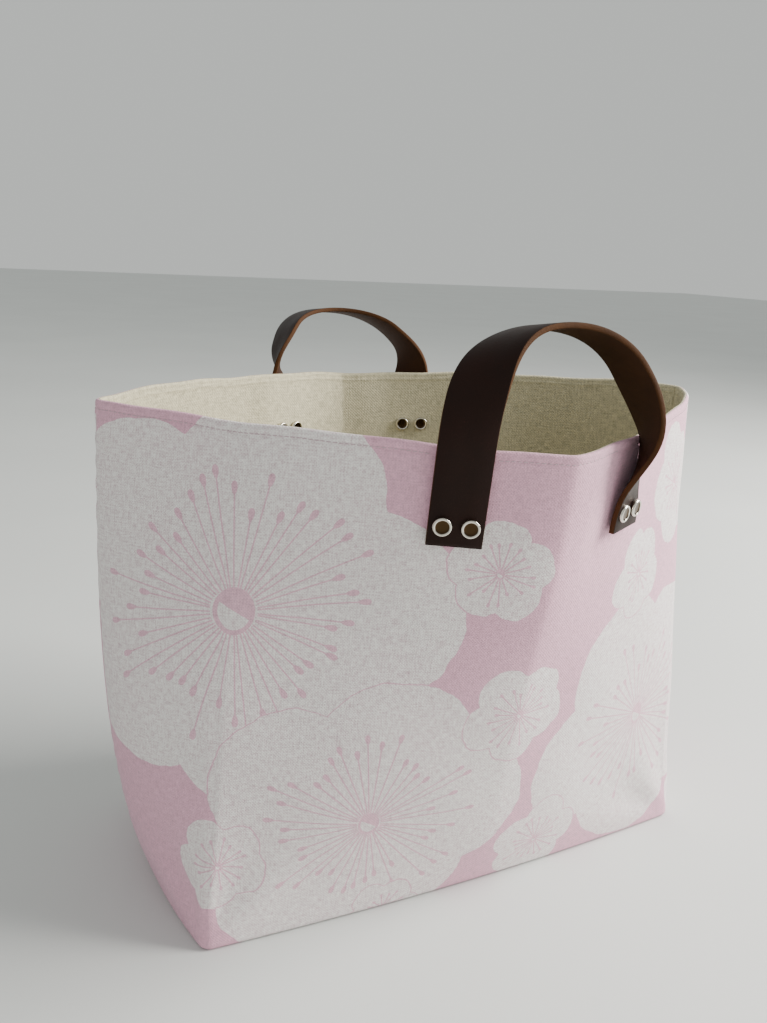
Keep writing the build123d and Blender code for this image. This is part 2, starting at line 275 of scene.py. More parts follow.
def blossom_group():
    tree = bpy.data.node_groups.new("blossom", "ShaderNodeTree")
    for name in ("U", "V", "Bend", "Middle U", "Middle V", "Radius", "Turn", "Petals", "Stamens",
                 "Reach", "Eye"):
        tree.interface.new_socket(name, in_out="INPUT", socket_type="NodeSocketFloat")
    for name in ("Petal", "Ink", "Edge"):
        tree.interface.new_socket(name, in_out="OUTPUT", socket_type="NodeSocketFloat")
    given = add(tree, "NodeGroupInput").outputs
    du = add(tree, MATH, given["U"], given["Middle U"], operation="SUBTRACT")
    dv = add(tree, MATH, given["V"], given["Middle V"], operation="SUBTRACT")
    du_squared = add(tree, MATH, du, du, operation="MULTIPLY")
    dv_squared = add(tree, MATH, dv, dv, operation="MULTIPLY")
    away = add(tree, MATH, add(tree, MATH, du_squared, dv_squared, operation="ADD"), operation="SQRT")
    angle = add(tree, MATH, add(tree, MATH, dv, du, operation="ARCTAN2"), given["Turn"], operation="ADD")
    # petals: each is a disc set off the middle, and the flower is their union. Within one petal's
    # slice the outline is where a ray from the middle leaves that petal's disc
    petal_angle = add(tree, MATH, 2 * math.pi, given["Petals"], operation="DIVIDE")
    slot = add(tree, MATH, add(tree, MATH, angle, petal_angle, operation="DIVIDE"), 20.5, operation="ADD")
    near = add(tree, MATH, add(tree, MATH, slot, operation="FRACT"), 0.5, operation="SUBTRACT")
    bearing = add(tree, MATH, near, petal_angle, operation="MULTIPLY")
    side_step = add(tree, MATH, add(tree, MATH, bearing, operation="SINE"), PETAL_OFFSET,
                    operation="MULTIPLY")
    square = add(tree, MATH, side_step, side_step, operation="MULTIPLY")
    chord = add(tree, MATH, add(tree, MATH, PETAL_SIZE ** 2, square, operation="SUBTRACT"), operation="SQRT")
    lobe = add(tree, MATH, add(tree, MATH, bearing, operation="COSINE"), PETAL_OFFSET, chord,
               operation="MULTIPLY_ADD")
    own = add(tree, "ShaderNodeTexWhiteNoise", {"W": add(tree, MATH, add(tree, MATH, slot, operation="FLOOR"),
                                                        given["Petals"], operation="MODULO")},
              noise_dimensions="1D")
    bulge = add(tree, MATH, add(tree, MATH, own.outputs["Value"], 0.5, operation="SUBTRACT"), 0.1,
                operation="MULTIPLY")
    full = add(tree, MATH, add(tree, MATH, add(tree, MATH, bearing, petal_angle, operation="DIVIDE"), 2.0,
                               operation="MULTIPLY"), 2.0, operation="POWER")
    reach = add(tree, MATH, bulge, add(tree, MATH, 1.0, full, operation="SUBTRACT"), lobe,
                operation="MULTIPLY_ADD")
    edge_at = add(tree, MATH, reach, given["Radius"], operation="MULTIPLY")
    inside = add(tree, MATH, add(tree, MATH, edge_at, given["Bend"], operation="ADD"), away,
                 operation="SUBTRACT")
    petal = add(tree, MATH, inside, 0.0, operation="GREATER_THAN")
    line = add(tree, MATH, add(tree, MATH, inside, operation="ABSOLUTE"), 0.37, operation="LESS_THAN")
    # stamens: the circle is cut into equal slices, and each holds one ray, off its middle by chance
    slice_angle = add(tree, MATH, 2 * math.pi, given["Stamens"], operation="DIVIDE")
    place = add(tree, MATH, add(tree, MATH, angle, 20 * math.pi, operation="ADD"), slice_angle,
                operation="DIVIDE")
    index = add(tree, MATH, place, operation="FLOOR")
    index = add(tree, MATH, add(tree, MATH, index, given["Stamens"], operation="MODULO"),
                given["Middle U"], operation="ADD")
    chance = add(tree, "ShaderNodeTexWhiteNoise", {"W": index}, noise_dimensions="1D")
    other = add(tree, "ShaderNodeTexWhiteNoise", {"W": add(tree, MATH, index, 57.3, operation="ADD")},
                noise_dimensions="1D")
    centre = add(tree, MATH, other.outputs["Value"], 0.5, 0.25, operation="MULTIPLY_ADD")
    off = add(tree, MATH, add(tree, MATH, place, operation="FRACT"), centre, operation="SUBTRACT")
    sideways = add(tree, MATH, add(tree, MATH, off, slice_angle, operation="MULTIPLY"), away,
                   operation="MULTIPLY")
    length = add(tree, MATH, add(tree, MATH, chance.outputs["Value"], 0.42, 0.58, operation="MULTIPLY_ADD"),
                 add(tree, MATH, given["Reach"], given["Radius"], operation="MULTIPLY"),
                 operation="MULTIPLY")
    ray = add(tree, MATH, add(tree, MATH, sideways, operation="ABSOLUTE"), 0.37, operation="LESS_THAN")
    ray = add(tree, MATH, ray, add(tree, MATH, away, length, operation="LESS_THAN"), operation="MULTIPLY")
    start = add(tree, MATH, given["Eye"], 1.25, operation="MULTIPLY")
    ray = add(tree, MATH, ray, add(tree, MATH, away, start, operation="GREATER_THAN"), operation="MULTIPLY")
    past_ray = add(tree, MATH, away, length, operation="SUBTRACT")
    tip_length = add(tree, MATH, given["Radius"], 0.022, 0.9, operation="MULTIPLY_ADD")
    tip_along = add(tree, MATH, past_ray, tip_length, operation="DIVIDE")
    tip_width = add(tree, MATH, given["Radius"], 0.009, 0.55, operation="MULTIPLY_ADD")
    taper = add(tree, MATH, tip_along, 0.3, 1.0, operation="MULTIPLY_ADD")
    tip_across = add(tree, MATH, sideways, add(tree, MATH, tip_width, taper, operation="MULTIPLY"),
                     operation="DIVIDE")
    tip = add(tree, MATH, add(tree, MATH, tip_along, tip_along, operation="MULTIPLY"),
              add(tree, MATH, tip_across, tip_across, operation="MULTIPLY"), operation="ADD")
    tip = add(tree, MATH, tip, 1.0, operation="LESS_THAN")
    # eye: a small oval, one half filled, ringed by a thin line
    flattened = add(tree, MATH, dv_squared, 0.72, operation="MULTIPLY")
    eye_away = add(tree, MATH, add(tree, MATH, du_squared, flattened, operation="ADD"), operation="SQRT")
    ring_width = add(tree, MATH, given["Eye"], 0.09, 0.22, operation="MULTIPLY_ADD")
    ring = add(tree, MATH, add(tree, MATH, eye_away, given["Eye"], operation="SUBTRACT"),
               operation="ABSOLUTE")
    ring = add(tree, MATH, ring, ring_width, operation="LESS_THAN")
    half = add(tree, MATH, add(tree, MATH, eye_away, given["Eye"], operation="LESS_THAN"),
               add(tree, MATH, add(tree, MATH, du, 0.55, dv, operation="MULTIPLY_ADD"), 0.0,
                   operation="GREATER_THAN"), operation="MULTIPLY")
    stamens = add(tree, MATH, ray, tip, operation="MAXIMUM")
    ink = add(tree, MATH, stamens, add(tree, MATH, ring, half, operation="MAXIMUM"), operation="MAXIMUM")
    ink = add(tree, MATH, ink, petal, operation="MULTIPLY")
    add(tree, "NodeGroupOutput", {"Petal": petal, "Ink": ink, "Edge": line})
    return tree


BLOSSOM = blossom_group()
print("blossom group", len(BLOSSOM.nodes), "nodes")

# %% [markdown]
# ## Linen
#
# Linen is a plain weave of uneven flax threads: each thread has thick slubs, so the cloth shows
# short light and dark dashes both ways. Thread spacing is about 0.5 mm. It is drawn at 0.9 mm,
# coarse enough to show. The threads follow the cloth's own UV map, which is in metres on the flat
# panel, so they bend with the walls.

# %% Linen weave group
def weave_group():
    tree = bpy.data.node_groups.new("plain_weave", "ShaderNodeTree")
    for name in ("U", "V", "Pitch"):
        tree.interface.new_socket(name, in_out="INPUT", socket_type="NodeSocketFloat")
    for name in ("Height", "Shade"):
        tree.interface.new_socket(name, in_out="OUTPUT", socket_type="NodeSocketFloat")
    given = add(tree, "NodeGroupInput").outputs
    u = add(tree, MATH, given["U"], given["Pitch"], operation="DIVIDE")
    v = add(tree, MATH, given["V"], given["Pitch"], operation="DIVIDE")
    threads = []
    for along, across, seed in ((v, u, 0.0), (u, v, 31.0)):
        at = add(tree, "ShaderNodeCombineXYZ", add(tree, MATH, across, 0.95, operation="MULTIPLY"),
                 add(tree, MATH, along, 0.17, operation="MULTIPLY"), seed)
        threads.append(add(tree, "ShaderNodeTexNoise", {"Vector": at, "Scale": 1.0, "Detail": 1.5,
                                                        "Roughness": 0.6}))
    slub = add(tree, MATH, threads[0].outputs[0], threads[1].outputs[0], operation="ADD")
    over = add(tree, MATH, add(tree, MATH, add(tree, MATH, u, math.pi, operation="MULTIPLY"),
                               operation="SINE"),
               add(tree, MATH, add(tree, MATH, v, math.pi, operation="MULTIPLY"), operation="SINE"),
               operation="MULTIPLY")
    height = add(tree, MATH, over, 0.3, slub, operation="MULTIPLY_ADD")
    shade = add(tree, MATH, over, 0.12, add(tree, MATH, slub, 1.0, operation="SUBTRACT"),
                operation="MULTIPLY_ADD")
    add(tree, "NodeGroupOutput", {"Height": height, "Shade": shade})
    return tree


WEAVE = weave_group()


def cloth_position(tree):
    """The place on the flat cloth in millimetres, from the piece's UV map in metres."""
    flat = add(tree, "ShaderNodeUVMap", uv_map="cloth")
    parts = add(tree, "ShaderNodeSeparateXYZ", {0: flat})
    return (add(tree, MATH, parts.outputs[0], 1000.0, operation="MULTIPLY"),
            add(tree, MATH, parts.outputs[1], 1000.0, operation="MULTIPLY"))


# %% [markdown]
# ### Printed linen
#
# Pale pink ground, off-white blossoms, and the ground's pink again for stamens and outlines. Print
# on a slubby cloth breaks up where the threads dip, so a little of the weave shows through it.

# %% Printed linen
BLOSSOMS = {
    # middle u, middle v, radius, turn, petals, stamens, reach, eye
    "front": [
        (81, 180, 108, -0.035, 5, 46, 0.66, 8.8), (365, 224, 36, 0.6, 5, 18, 0.6, 2.6),
        (338, 88, 88, 0.37, 5, 40, 0.64, 5.2), (155, 66, 86, -0.09, 5, 42, 0.66, 5.0),
        (202, 207, 26, 0.9, 5, 18, 0.66, 1.8), (228, 126, 31, 0.3, 5, 20, 0.66, 2.0),
        (263, 27, 30, 1.1, 5, 20, 0.66, 2.0), (80, 48, 25, 0.4, 5, 15, 0.62, 1.6),
        (314, 184, 27, 0.4, 5, 16, 0.62, 1.8), (434, 212, 60, 0.8, 5, 30, 0.66, 4.2),
        (172, 2, 22, 0.2, 5, 14, 0.6, 1.6), (408, 20, 30, 0.5, 5, 17, 0.62, 2.0)],
    "back": [
        (352, 176, 104, 1.1, 5, 46, 0.66, 8.6), (262, 62, 86, 0.3, 5, 42, 0.66, 5.0),
        (112, 84, 86, 0.9, 5, 42, 0.66, 5.2), (232, 206, 28, 0.2, 5, 17, 0.62, 2.2),
        (196, 142, 31, 0.7, 5, 18, 0.62, 2.4), (30, 214, 60, 0.1, 5, 30, 0.66, 5.0),
        (160, 232, 24, 0.5, 5, 15, 0.6, 2.0), (396, 48, 30, 0.5, 5, 17, 0.62, 2.4)],
}


PINK, PRINT_WHITE = "DBA9BC", "E6E1DF"


def printed_linen(side):
    material, tree, shader = finish(f"linen, plain weave, blossom print, {side}")
    u, v = cloth_position(tree)
    wobble = add(tree, "ShaderNodeTexNoise", {"Vector": add(tree, "ShaderNodeCombineXYZ", {0: u, 1: v}),
                                              "Scale": 0.05, "Detail": 3.0})
    bend = add(tree, MATH, wobble.outputs[0], 0.5, operation="SUBTRACT")
    bend = add(tree, MATH, bend, 8.0, operation="MULTIPLY")
    cover, ink = 0.0, 0.0
    for place in BLOSSOMS[side]:
        values = dict(zip(("Middle U", "Middle V", "Radius", "Turn", "Petals", "Stamens", "Reach", "Eye"),
                          map(float, place)))
        flower = add(tree, "ShaderNodeGroup", {}, node_tree=BLOSSOM)
        for name, value in values.items():
            flower.inputs[name].default_value = value
        tree.links.new(u.outputs[0], flower.inputs["U"])
        tree.links.new(v.outputs[0], flower.inputs["V"])
        tree.links.new(bend.outputs[0], flower.inputs["Bend"])
        petal, drawn, edge = (flower.outputs[name] for name in ("Petal", "Ink", "Edge"))
        # a later blossom lies over the earlier ones: it hides their ink and draws its own edge on them
        kept = add(tree, MATH, ink, add(tree, MATH, 1.0, petal, operation="SUBTRACT"), operation="MULTIPLY")
        over = add(tree, MATH, edge, cover, operation="MULTIPLY")
        ink = add(tree, MATH, add(tree, MATH, kept, over, operation="MAXIMUM"), drawn, operation="MAXIMUM")
        cover = add(tree, MATH, cover, petal, operation="MAXIMUM")
    weave = tree.nodes.new("ShaderNodeGroup")
    weave.node_tree = WEAVE
    tree.links.new(u.outputs[0], weave.inputs["U"])
    tree.links.new(v.outputs[0], weave.inputs["V"])
    weave.inputs["Pitch"].default_value = 0.75
    # the paste of the print misses the dips of the weave, more in some places than in others
    patchy = add(tree, "ShaderNodeTexNoise", {"Vector": add(tree, "ShaderNodeCombineXYZ", u, v, 7.0),
                                              "Scale": 0.03, "Detail": 2.0})
    worn = add(tree, MATH, weave.outputs["Shade"], 1.0,
               add(tree, MATH, patchy.outputs[0], 0.25, 0.76,
                   operation="MULTIPLY_ADD"), operation="MULTIPLY_ADD")
    worn = add(tree, MATH, add(tree, MATH, worn, 0.0, operation="MAXIMUM"), 1.0, operation="MINIMUM")
    white = add(tree, MATH, cover, add(tree, MATH, ink, 0.88, operation="MULTIPLY"), operation="SUBTRACT")
    white = add(tree, MATH, white, worn, operation="MULTIPLY")
    base = add(tree, "ShaderNodeMix", {0: white, 6: colour(PINK), 7: colour(PRINT_WHITE)}, data_type="RGBA")
    tint = add(tree, MATH, weave.outputs["Shade"], 0.5, 1.0, operation="MULTIPLY_ADD")
    shade = add(tree, "ShaderNodeVectorMath", base.outputs[2], tint, operation="MULTIPLY")
    tree.links.new(shade.outputs[0], shader.inputs["Base Color"])
    bump = add(tree, "ShaderNodeBump", {"Strength": 0.45, "Distance": 0.0004,
                                        "Height": weave.outputs["Height"]})
    tree.links.new(bump.outputs[0], shader.inputs["Normal"])
    shader.inputs["Roughness"].default_value = 0.9
    shader.inputs["Sheen Weight"].default_value = 0.15
    shader.inputs["Sheen Roughness"].default_value = 0.5
    return material


# %% Natural linen, leather, edge, nickel, thread, board
def natural_linen():
    material, tree, shader = finish("linen, plain weave, undyed")
    u, v = cloth_position(tree)
    weave = add(tree, "ShaderNodeGroup", {}, node_tree=WEAVE)
    tree.links.new(u.outputs[0], weave.inputs["U"])
    tree.links.new(v.outputs[0], weave.inputs["V"])
    weave.inputs["Pitch"].default_value = 1.0
    tint = add(tree, MATH, weave.outputs["Shade"], 0.8, 1.0, operation="MULTIPLY_ADD")
    shade = add(tree, "ShaderNodeVectorMath", {0: colour("BDB69B")[:3], 1: tint}, operation="MULTIPLY")
    tree.links.new(shade.outputs[0], shader.inputs["Base Color"])
    bump = add(tree, "ShaderNodeBump", {"Strength": 0.5, "Distance": 0.0004,
                                        "Height": weave.outputs["Height"]})
    tree.links.new(bump.outputs[0], shader.inputs["Normal"])
    shader.inputs["Roughness"].default_value = 0.92
    return material


def leather(name, dark, light, roughness, bump_depth):
    """Vegetable-tanned strap leather: close pores, slow changes of tone, and a soft waxed gloss."""
    material, tree, shader = finish(name)
    at = add(tree, "ShaderNodeTexCoord").outputs["Object"]
    tone = add(tree, "ShaderNodeTexNoise", {"Vector": at, "Scale": 60.0, "Detail": 5.0, "Roughness": 0.6})
    base = add(tree, "ShaderNodeMix", {0: tone.outputs[0], 6: colour(dark), 7: colour(light)},
               data_type="RGBA")
    tree.links.new(base.outputs[2], shader.inputs["Base Color"])
    pores = add(tree, "ShaderNodeTexVoronoi", {"Vector": at, "Scale": 1400.0})
    folds = add(tree, "ShaderNodeTexNoise", {"Vector": at, "Scale": 300.0, "Detail": 4.0})
    height = add(tree, MATH, pores.outputs["Distance"], folds.outputs[0], operation="ADD")
    bump = add(tree, "ShaderNodeBump", {"Strength": 0.3, "Distance": bump_depth, "Height": height})
    tree.links.new(bump.outputs[0], shader.inputs["Normal"])
    gloss = add(tree, MATH, tone.outputs[0], 0.2, roughness, operation="MULTIPLY_ADD")
    tree.links.new(gloss.outputs[0], shader.inputs["Roughness"])
    shader.inputs["Specular IOR Level"].default_value = 0.14
    return material


def nickel():
    """Nickel plate on a stamped brass cap: mirror-like and a little warm. Its dish has a painted dark
    reflection: the base colour there is a dark brown that stands in for the dark reflections in it."""
    material, tree, shader = finish("nickel plate, polished")
    at = add(tree, "ShaderNodeTexCoord").outputs["Object"]
    marks = add(tree, "ShaderNodeTexNoise", {"Vector": at, "Scale": 900.0, "Detail": 3.0})
    gloss = add(tree, MATH, marks.outputs[0], 0.12, 0.13, operation="MULTIPLY_ADD")
    tree.links.new(gloss.outputs[0], shader.inputs["Roughness"])
    # painted dark reflection: each cap's dish gets a dark brown base colour in place of the reflections it
    # shows
    painted_dark_reflection = add(tree, "ShaderNodeAttribute", {}, attribute_name="painted_dark_reflection")
    tone = add(tree, "ShaderNodeMix", {0: painted_dark_reflection.outputs["Fac"], 6: colour("D9D3C8"), 7: colour("3F3020")},
               data_type="RGBA")
    tree.links.new(tone.outputs[2], shader.inputs["Base Color"])
    shader.inputs["Metallic"].default_value = 1.0
    return material


def plain(name, code, roughness, scale, depth):
    """A quiet surface with a fine tooth."""
    material, tree, shader = finish(name)
    at = add(tree, "ShaderNodeTexCoord").outputs["Object"]
    tooth = add(tree, "ShaderNodeTexNoise", {"Vector": at, "Scale": scale, "Detail": 3.0})
    tint = add(tree, MATH, tooth.outputs[0], 0.12, 0.94, operation="MULTIPLY_ADD")
    shade = add(tree, "ShaderNodeVectorMath", {0: colour(code)[:3], 1: tint}, operation="MULTIPLY")
    tree.links.new(shade.outputs[0], shader.inputs["Base Color"])
    bump = add(tree, "ShaderNodeBump", {"Strength": 0.3, "Distance": depth, "Height": tooth.outputs[0]})
    tree.links.new(bump.outputs[0], shader.inputs["Normal"])
    shader.inputs["Roughness"].default_value = roughness
    return material


PRINTED = {side: printed_linen(side) for side in ("front", "back")}
LINEN = natural_linen()
LEATHER = leather("bridle leather, waxed face", "160A06", "27110A", 0.42, 0.00012)
LEATHER_EDGE = leather("bridle leather, raw cut edge", "2E1A0C", "56361B", 0.66, 0.00025)
LEATHER_BACK = leather("bridle leather, flesh side", "24130A", "3D2514", 0.66, 0.0003)
NICKEL = nickel()
THREAD = plain("polyester sewing thread, spun", "C4A9B2", 0.7, 4000.0, 0.00005)
BOARD = plain("polypropylene board, matt", "D8D8D4", 0.6, 800.0, 0.00005)

# %% [markdown]
# ## Sewn panels
#
# A panel is one sheet: the wall, half of the base, and the edge that turns over at the rim. It is
# built as a grid whose columns are the vertical threads, which also gives it a flat UV map. The
# Solidify modifier then gives it its thickness, inwards.

# %% Panel builder
COLUMNS = np.unique(np.round(np.concatenate([
    np.linspace(0, 1, 231),
    np.linspace(0, 0.03, 19), np.linspace(0.97, 1, 19),
    np.linspace(0.15, 0.18, 17), np.linspace(0.82, 0.85, 17)]), 6))
WALL_ROWS = 131
FOLD_ROWS = 7


def wall_grid(depth, bottom, seed, fold_from, fold_to):
    """Rows of points from the bottom to the rim, and round its fold between two angles."""
    top = rim_height(COLUMNS) + wave(COLUMNS, seed) - FOLD
    rows = []
    steps = np.concatenate([np.linspace(0, 0.02, 8)[:-1], np.linspace(0.02, 0.955, WALL_ROWS)[:-1],
                            np.linspace(0.955, 1, 25)])
    for step in steps:
        z = bottom + (top - bottom) * step
        push = give(COLUMNS, z, seed)
        over = np.clip(1 - (z - bottom) / FLOOR_ROLL, 0, 1)
        rows.append((depth - push + FLOOR_ROLL * (1 - np.sqrt(1 - over ** 2)), z))
    for angle in np.linspace(fold_from, fold_to, FOLD_ROWS)[1:]:
        push = give(COLUMNS, top, seed)
        rows.append((FOLD * (1 - math.cos(angle)) - push, top + FOLD * math.sin(angle)))
    grid = []
    for far_in, z in rows:
        level = np.clip(z / WALL_HEIGHT, 0, 1)
        x, y = inset(COLUMNS, level, far_in)
        y = np.where((COLUMNS <= 0) | (COLUMNS >= 1), 0.0, np.minimum(y, -0.02))
        grid.append(np.stack([x, y, z], 1))
    return np.array(grid)


def panel_mesh(name, grid, back, outside):
    """The wall grid and its half of the base as one mesh in metres, with a flat UV map."""
    rows, columns = grid.shape[:2]
    mesh = bpy.data.meshes.new(name)
    points = grid.reshape(-1, 3).copy()
    flip = back != (not outside)
    if back:
        points[:, 1] *= -1
    made = bmesh.new()
    corners = [made.verts.new(p * MM) for p in points]
    uv = made.loops.layers.uv.new("cloth")
    lengths = np.concatenate([np.zeros((1, columns)), np.cumsum(
        np.linalg.norm(np.diff(grid, axis=0), axis=2), axis=0)])
    across = COLUMNS * HALF_RUN
    flat = {}
    for r in range(rows):
        for c in range(columns):
            flat[corners[r * columns + c]] = (across[c] * MM, lengths[r, c] * MM)
    for r in range(rows - 1):
        for c in range(columns - 1):
            ring = [corners[r * columns + c], corners[r * columns + c + 1],
                    corners[(r + 1) * columns + c + 1], corners[(r + 1) * columns + c]]
            made.faces.new(ring[::-1] if flip else ring)
    bottom = corners[:columns]
    sheet = made.faces.new(bottom if flip else bottom[::-1])
    for face in made.faces:
        face.smooth = True
        for loop in face.loops:
            if face is sheet:
                x, y = loop.vert.co.x, abs(loop.vert.co.y)
                loop[uv].uv = (x + HALF_RUN / 2 * MM, y - HALF_DEPTH * MM)
            else:
                loop[uv].uv = flat[loop.vert]
    bmesh.ops.triangulate(made, faces=[sheet])
    made.to_mesh(mesh)
    made.free()
    piece = bpy.data.objects.new(name, mesh)
    bpy.context.scene.collection.objects.link(piece)
    return piece


def solid(piece, thickness):
    """Gives a sheet its thickness, away from the side that shows."""
    shell = piece.modifiers.new("thickness", "SOLIDIFY")
    shell.thickness = thickness * MM
    shell.offset = -1
    shell.use_even_offset = False
    return piece


OUTER_FOLD_END = 0.47 * math.pi   # how far the outer cloth rolls over at the rim
LINING_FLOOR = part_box("lining_front_panel")[0].z / MM + 0.8
for side, back, seed in (("front", False, 1.0), ("back", True, 4.0)):
    outer = panel_mesh(f"outer_{side}", wall_grid(0.0, 0.0, seed, 0.0, OUTER_FOLD_END), back, True)
    outer.data.materials.append(PRINTED[side])
    solid(outer, CLOTH)
    lining_grid = wall_grid(2 * FOLD, LINING_FLOOR, seed, math.pi, 0.5 * math.pi)
    lining = panel_mesh(f"lining_{side}", lining_grid, back, False)
    lining.data.materials.append(LINEN)
    solid(lining, 0.6)
    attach(outer, "bin")
    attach(lining, "bin")
    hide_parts(f"outer_{side}_panel", f"interlining_{side}_panel")
    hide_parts(f"lining_{side}_panel")
    print(side, "panel", len(outer.data.polygons), "faces; lining", len(lining.data.polygons))

board = frame["nodes"]["base_stiffener_board"]
board.data.materials.clear()
board.data.materials.append(BOARD)

# %% [markdown]
# ## Leather handles
#
# A handle is one strap. Its ends lie flat on the wall, where rivets hold them, and the strap
# twists as it rises so that it lies face up at the top of the arch. It is swept along that line
# with its width direction turning from the wall to the arch.

# %% Strap line
def end_plane(share):
    """Origin, across, up and outward directions of the back face of a strap end, at the rim."""
    def point(at, height):
        x, y = inset(np.array(at), np.array(height / WALL_HEIGHT), 0.0)
        return Vector((float(x), float(y), float(height)))
    top = float(rim_height(np.array(share)))
    bottom = top - STRAP_DROP
    up = (point(share, top) - point(share, bottom)).normalized()
    step = STRAP_WIDTH / 4 / HALF_RUN
    middle = top - STRAP_DROP / 2
    out = (point(share + step, middle) - point(share - step, middle)).cross(up).normalized()
    origin = point(share, top)
    reach = STRAP_WIDTH / 2 / RIM_LENGTH
    furthest = 0.0
    for across in np.linspace(-1, 1, 9):
        for height in np.linspace(bottom, top, 7):
            furthest = max(furthest, (point(share + reach * across, height) - origin).dot(out))
    return origin + out * (furthest + STRAP_GAP), up.cross(out), up, out


ENDS = [end_plane(0.5 + side * STRAP_SPACING / 2 / RIM_LENGTH) for side in (-1, 1)]


def eased(value, low, high):
    """0 below low, 1 above high, and an easy curve between, for one number."""
    return float(smooth(np.array(value), low, high))


# How each leg twists and stands off the wall, left leg first: the lengths along the strap, counted
# from where it leaves the wall, at which its twist starts and ends, and how far its middle stands
# off there. A used handle is never quite the same twice.
LEGS = {"front": ((4.0, 74.0, 0.3), (-44.0, 30.0, 5.0)), "back": ((-30.0, 26.0, 3.5), (-28.0, 28.0, 3.0))}
LIFT_END = 34.0           # length past there at which the leg is back on its arch


def half_strap(arch, leg):
    """Middle points and width directions from the left end of a front strap to its top."""
    top, distance, tip, leg_pull, crown_pull = arch
    twist_from, twist_to, stand_off = leg
    origin, across, up, out = ENDS[0]
    start = origin + out * (STRAP_THICK / 2)
    crown = Vector((0, -distance, top - STRAP_THICK / 2))
    facing = Vector((0, -math.cos(math.radians(tip)), -math.sin(math.radians(tip))))
    pulls = [start, start + up * leg_pull, crown - Vector((crown_pull, 0, 0)), crown]
    line = [(start - up * STRAP_DROP * (1 - step), STRAP_DROP * (step - 1))
            for step in np.linspace(0, 1, 31)[:-1]]
    for part in np.linspace(0, 1, 41):
        rest = 1 - part
        weights = (rest ** 3, 3 * rest ** 2 * part, 3 * rest * part ** 2, part ** 3)
        point = sum((p * w for p, w in zip(pulls, weights)), Vector())
        line.append((point, line[-1][1] + (point - line[-1][0]).length))
    normal = across.cross(facing).cross(across).normalized()
    half = []
    for point, run in line:
        angle = eased(run, twist_from, min(twist_to, line[-1][1])) * facing.angle(across)
        lift = stand_off * eased(run, -30.0, 2.0) * (1 - eased(run, 2.0, LIFT_END))
        half.append((point + out * lift, across * math.cos(angle) + normal * math.sin(angle)))
    return half


def strap_line(side):
    """Middle points and width directions of a whole strap on the front wall, from left to right."""
    left, right = (half_strap(ARCHES[side], leg) for leg in LEGS[side])
    other = [(Vector((-p.x, p.y, p.z)), Vector((-w.x, w.y, w.z))) for p, w in reversed(right[:-1])]
    return left + other


def strap_profile():
    """Cross-section of the strap with eased corners, and which finish each face has."""
    w, top, low, ease = STRAP_WIDTH / 2, STRAP_THICK / 2, STRAP_THICK / 2 - LEATHER_THICK, 0.5
    ring = [(-w + ease, top), (-w / 3, top), (w / 3, top), (w - ease, top), (w - 0.15, top - 0.15),
            (w, top - ease), (w, low + ease), (w - 0.15, low + 0.15), (w - ease, low), (0, low),
            (-w + ease, low), (-w + 0.15, low + 0.15), (-w, low + ease), (-w, top - ease),
            (-w + 0.15, top - 0.15)]
    finishes = [0, 0, 0, 0, 1, 1, 1, 1, 2, 2, 1, 1, 1, 1, 0]
    return ring, finishes


def make_strap(name, side):
    ring, finishes = strap_profile()
    made = bmesh.new()
    rings = []
    line = strap_line(side)
    for index, (point, wide) in enumerate(line):
        before = line[max(index - 1, 0)][0]
        after = line[min(index + 1, len(line) - 1)][0]
        along = (after - before).normalized()
        wide = (wide - along * wide.dot(along)).normalized()
        face = wide.cross(along)
        rings.append([made.verts.new((point + wide * a + face * b) * MM) for a, b in ring])
    for first, second in zip(rings, rings[1:]):
        for i in range(len(ring)):
            j = (i + 1) % len(ring)
            quad = made.faces.new([first[i], first[j], second[j], second[i]])
            quad.material_index = finishes[i]
            quad.smooth = True
    for cap in (rings[0], rings[-1]):
        made.faces.new(cap).material_index = 1
    if side == "back":
        for vert in made.verts:
            vert.co.y *= -1
    bmesh.ops.recalc_face_normals(made, faces=made.faces)
    mesh = bpy.data.meshes.new(name)
    made.to_mesh(mesh)
    made.free()
    mesh.materials.append(LEATHER)
    mesh.materials.append(LEATHER_EDGE)
    mesh.materials.append(LEATHER_BACK)
    piece = bpy.data.objects.new(name, mesh)
    bpy.context.scene.collection.objects.link(piece)
    return piece


# %% Two straps
for side, back in (("front", False), ("back", True)):
    strap = make_strap(f"{side}_handle_strap", side)
    y = (1 if back else -1) * FLEX_Y * MM
    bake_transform(strap)
    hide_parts(f"{side}_handle_arch", f"{side}_strap_end_left", f"{side}_strap_end_right")
    print(strap.name, len(strap.data.polygons), "faces")

# %% [markdown]
# ## Rivets and stitches
#
# Things that repeat are instanced by Geometry Nodes: one cap is copied onto eight points outside
# and eight inside, and one stitch onto points all along the rim. Each point carries a direction
# for its copy. The result is realised and turned into a plain mesh.

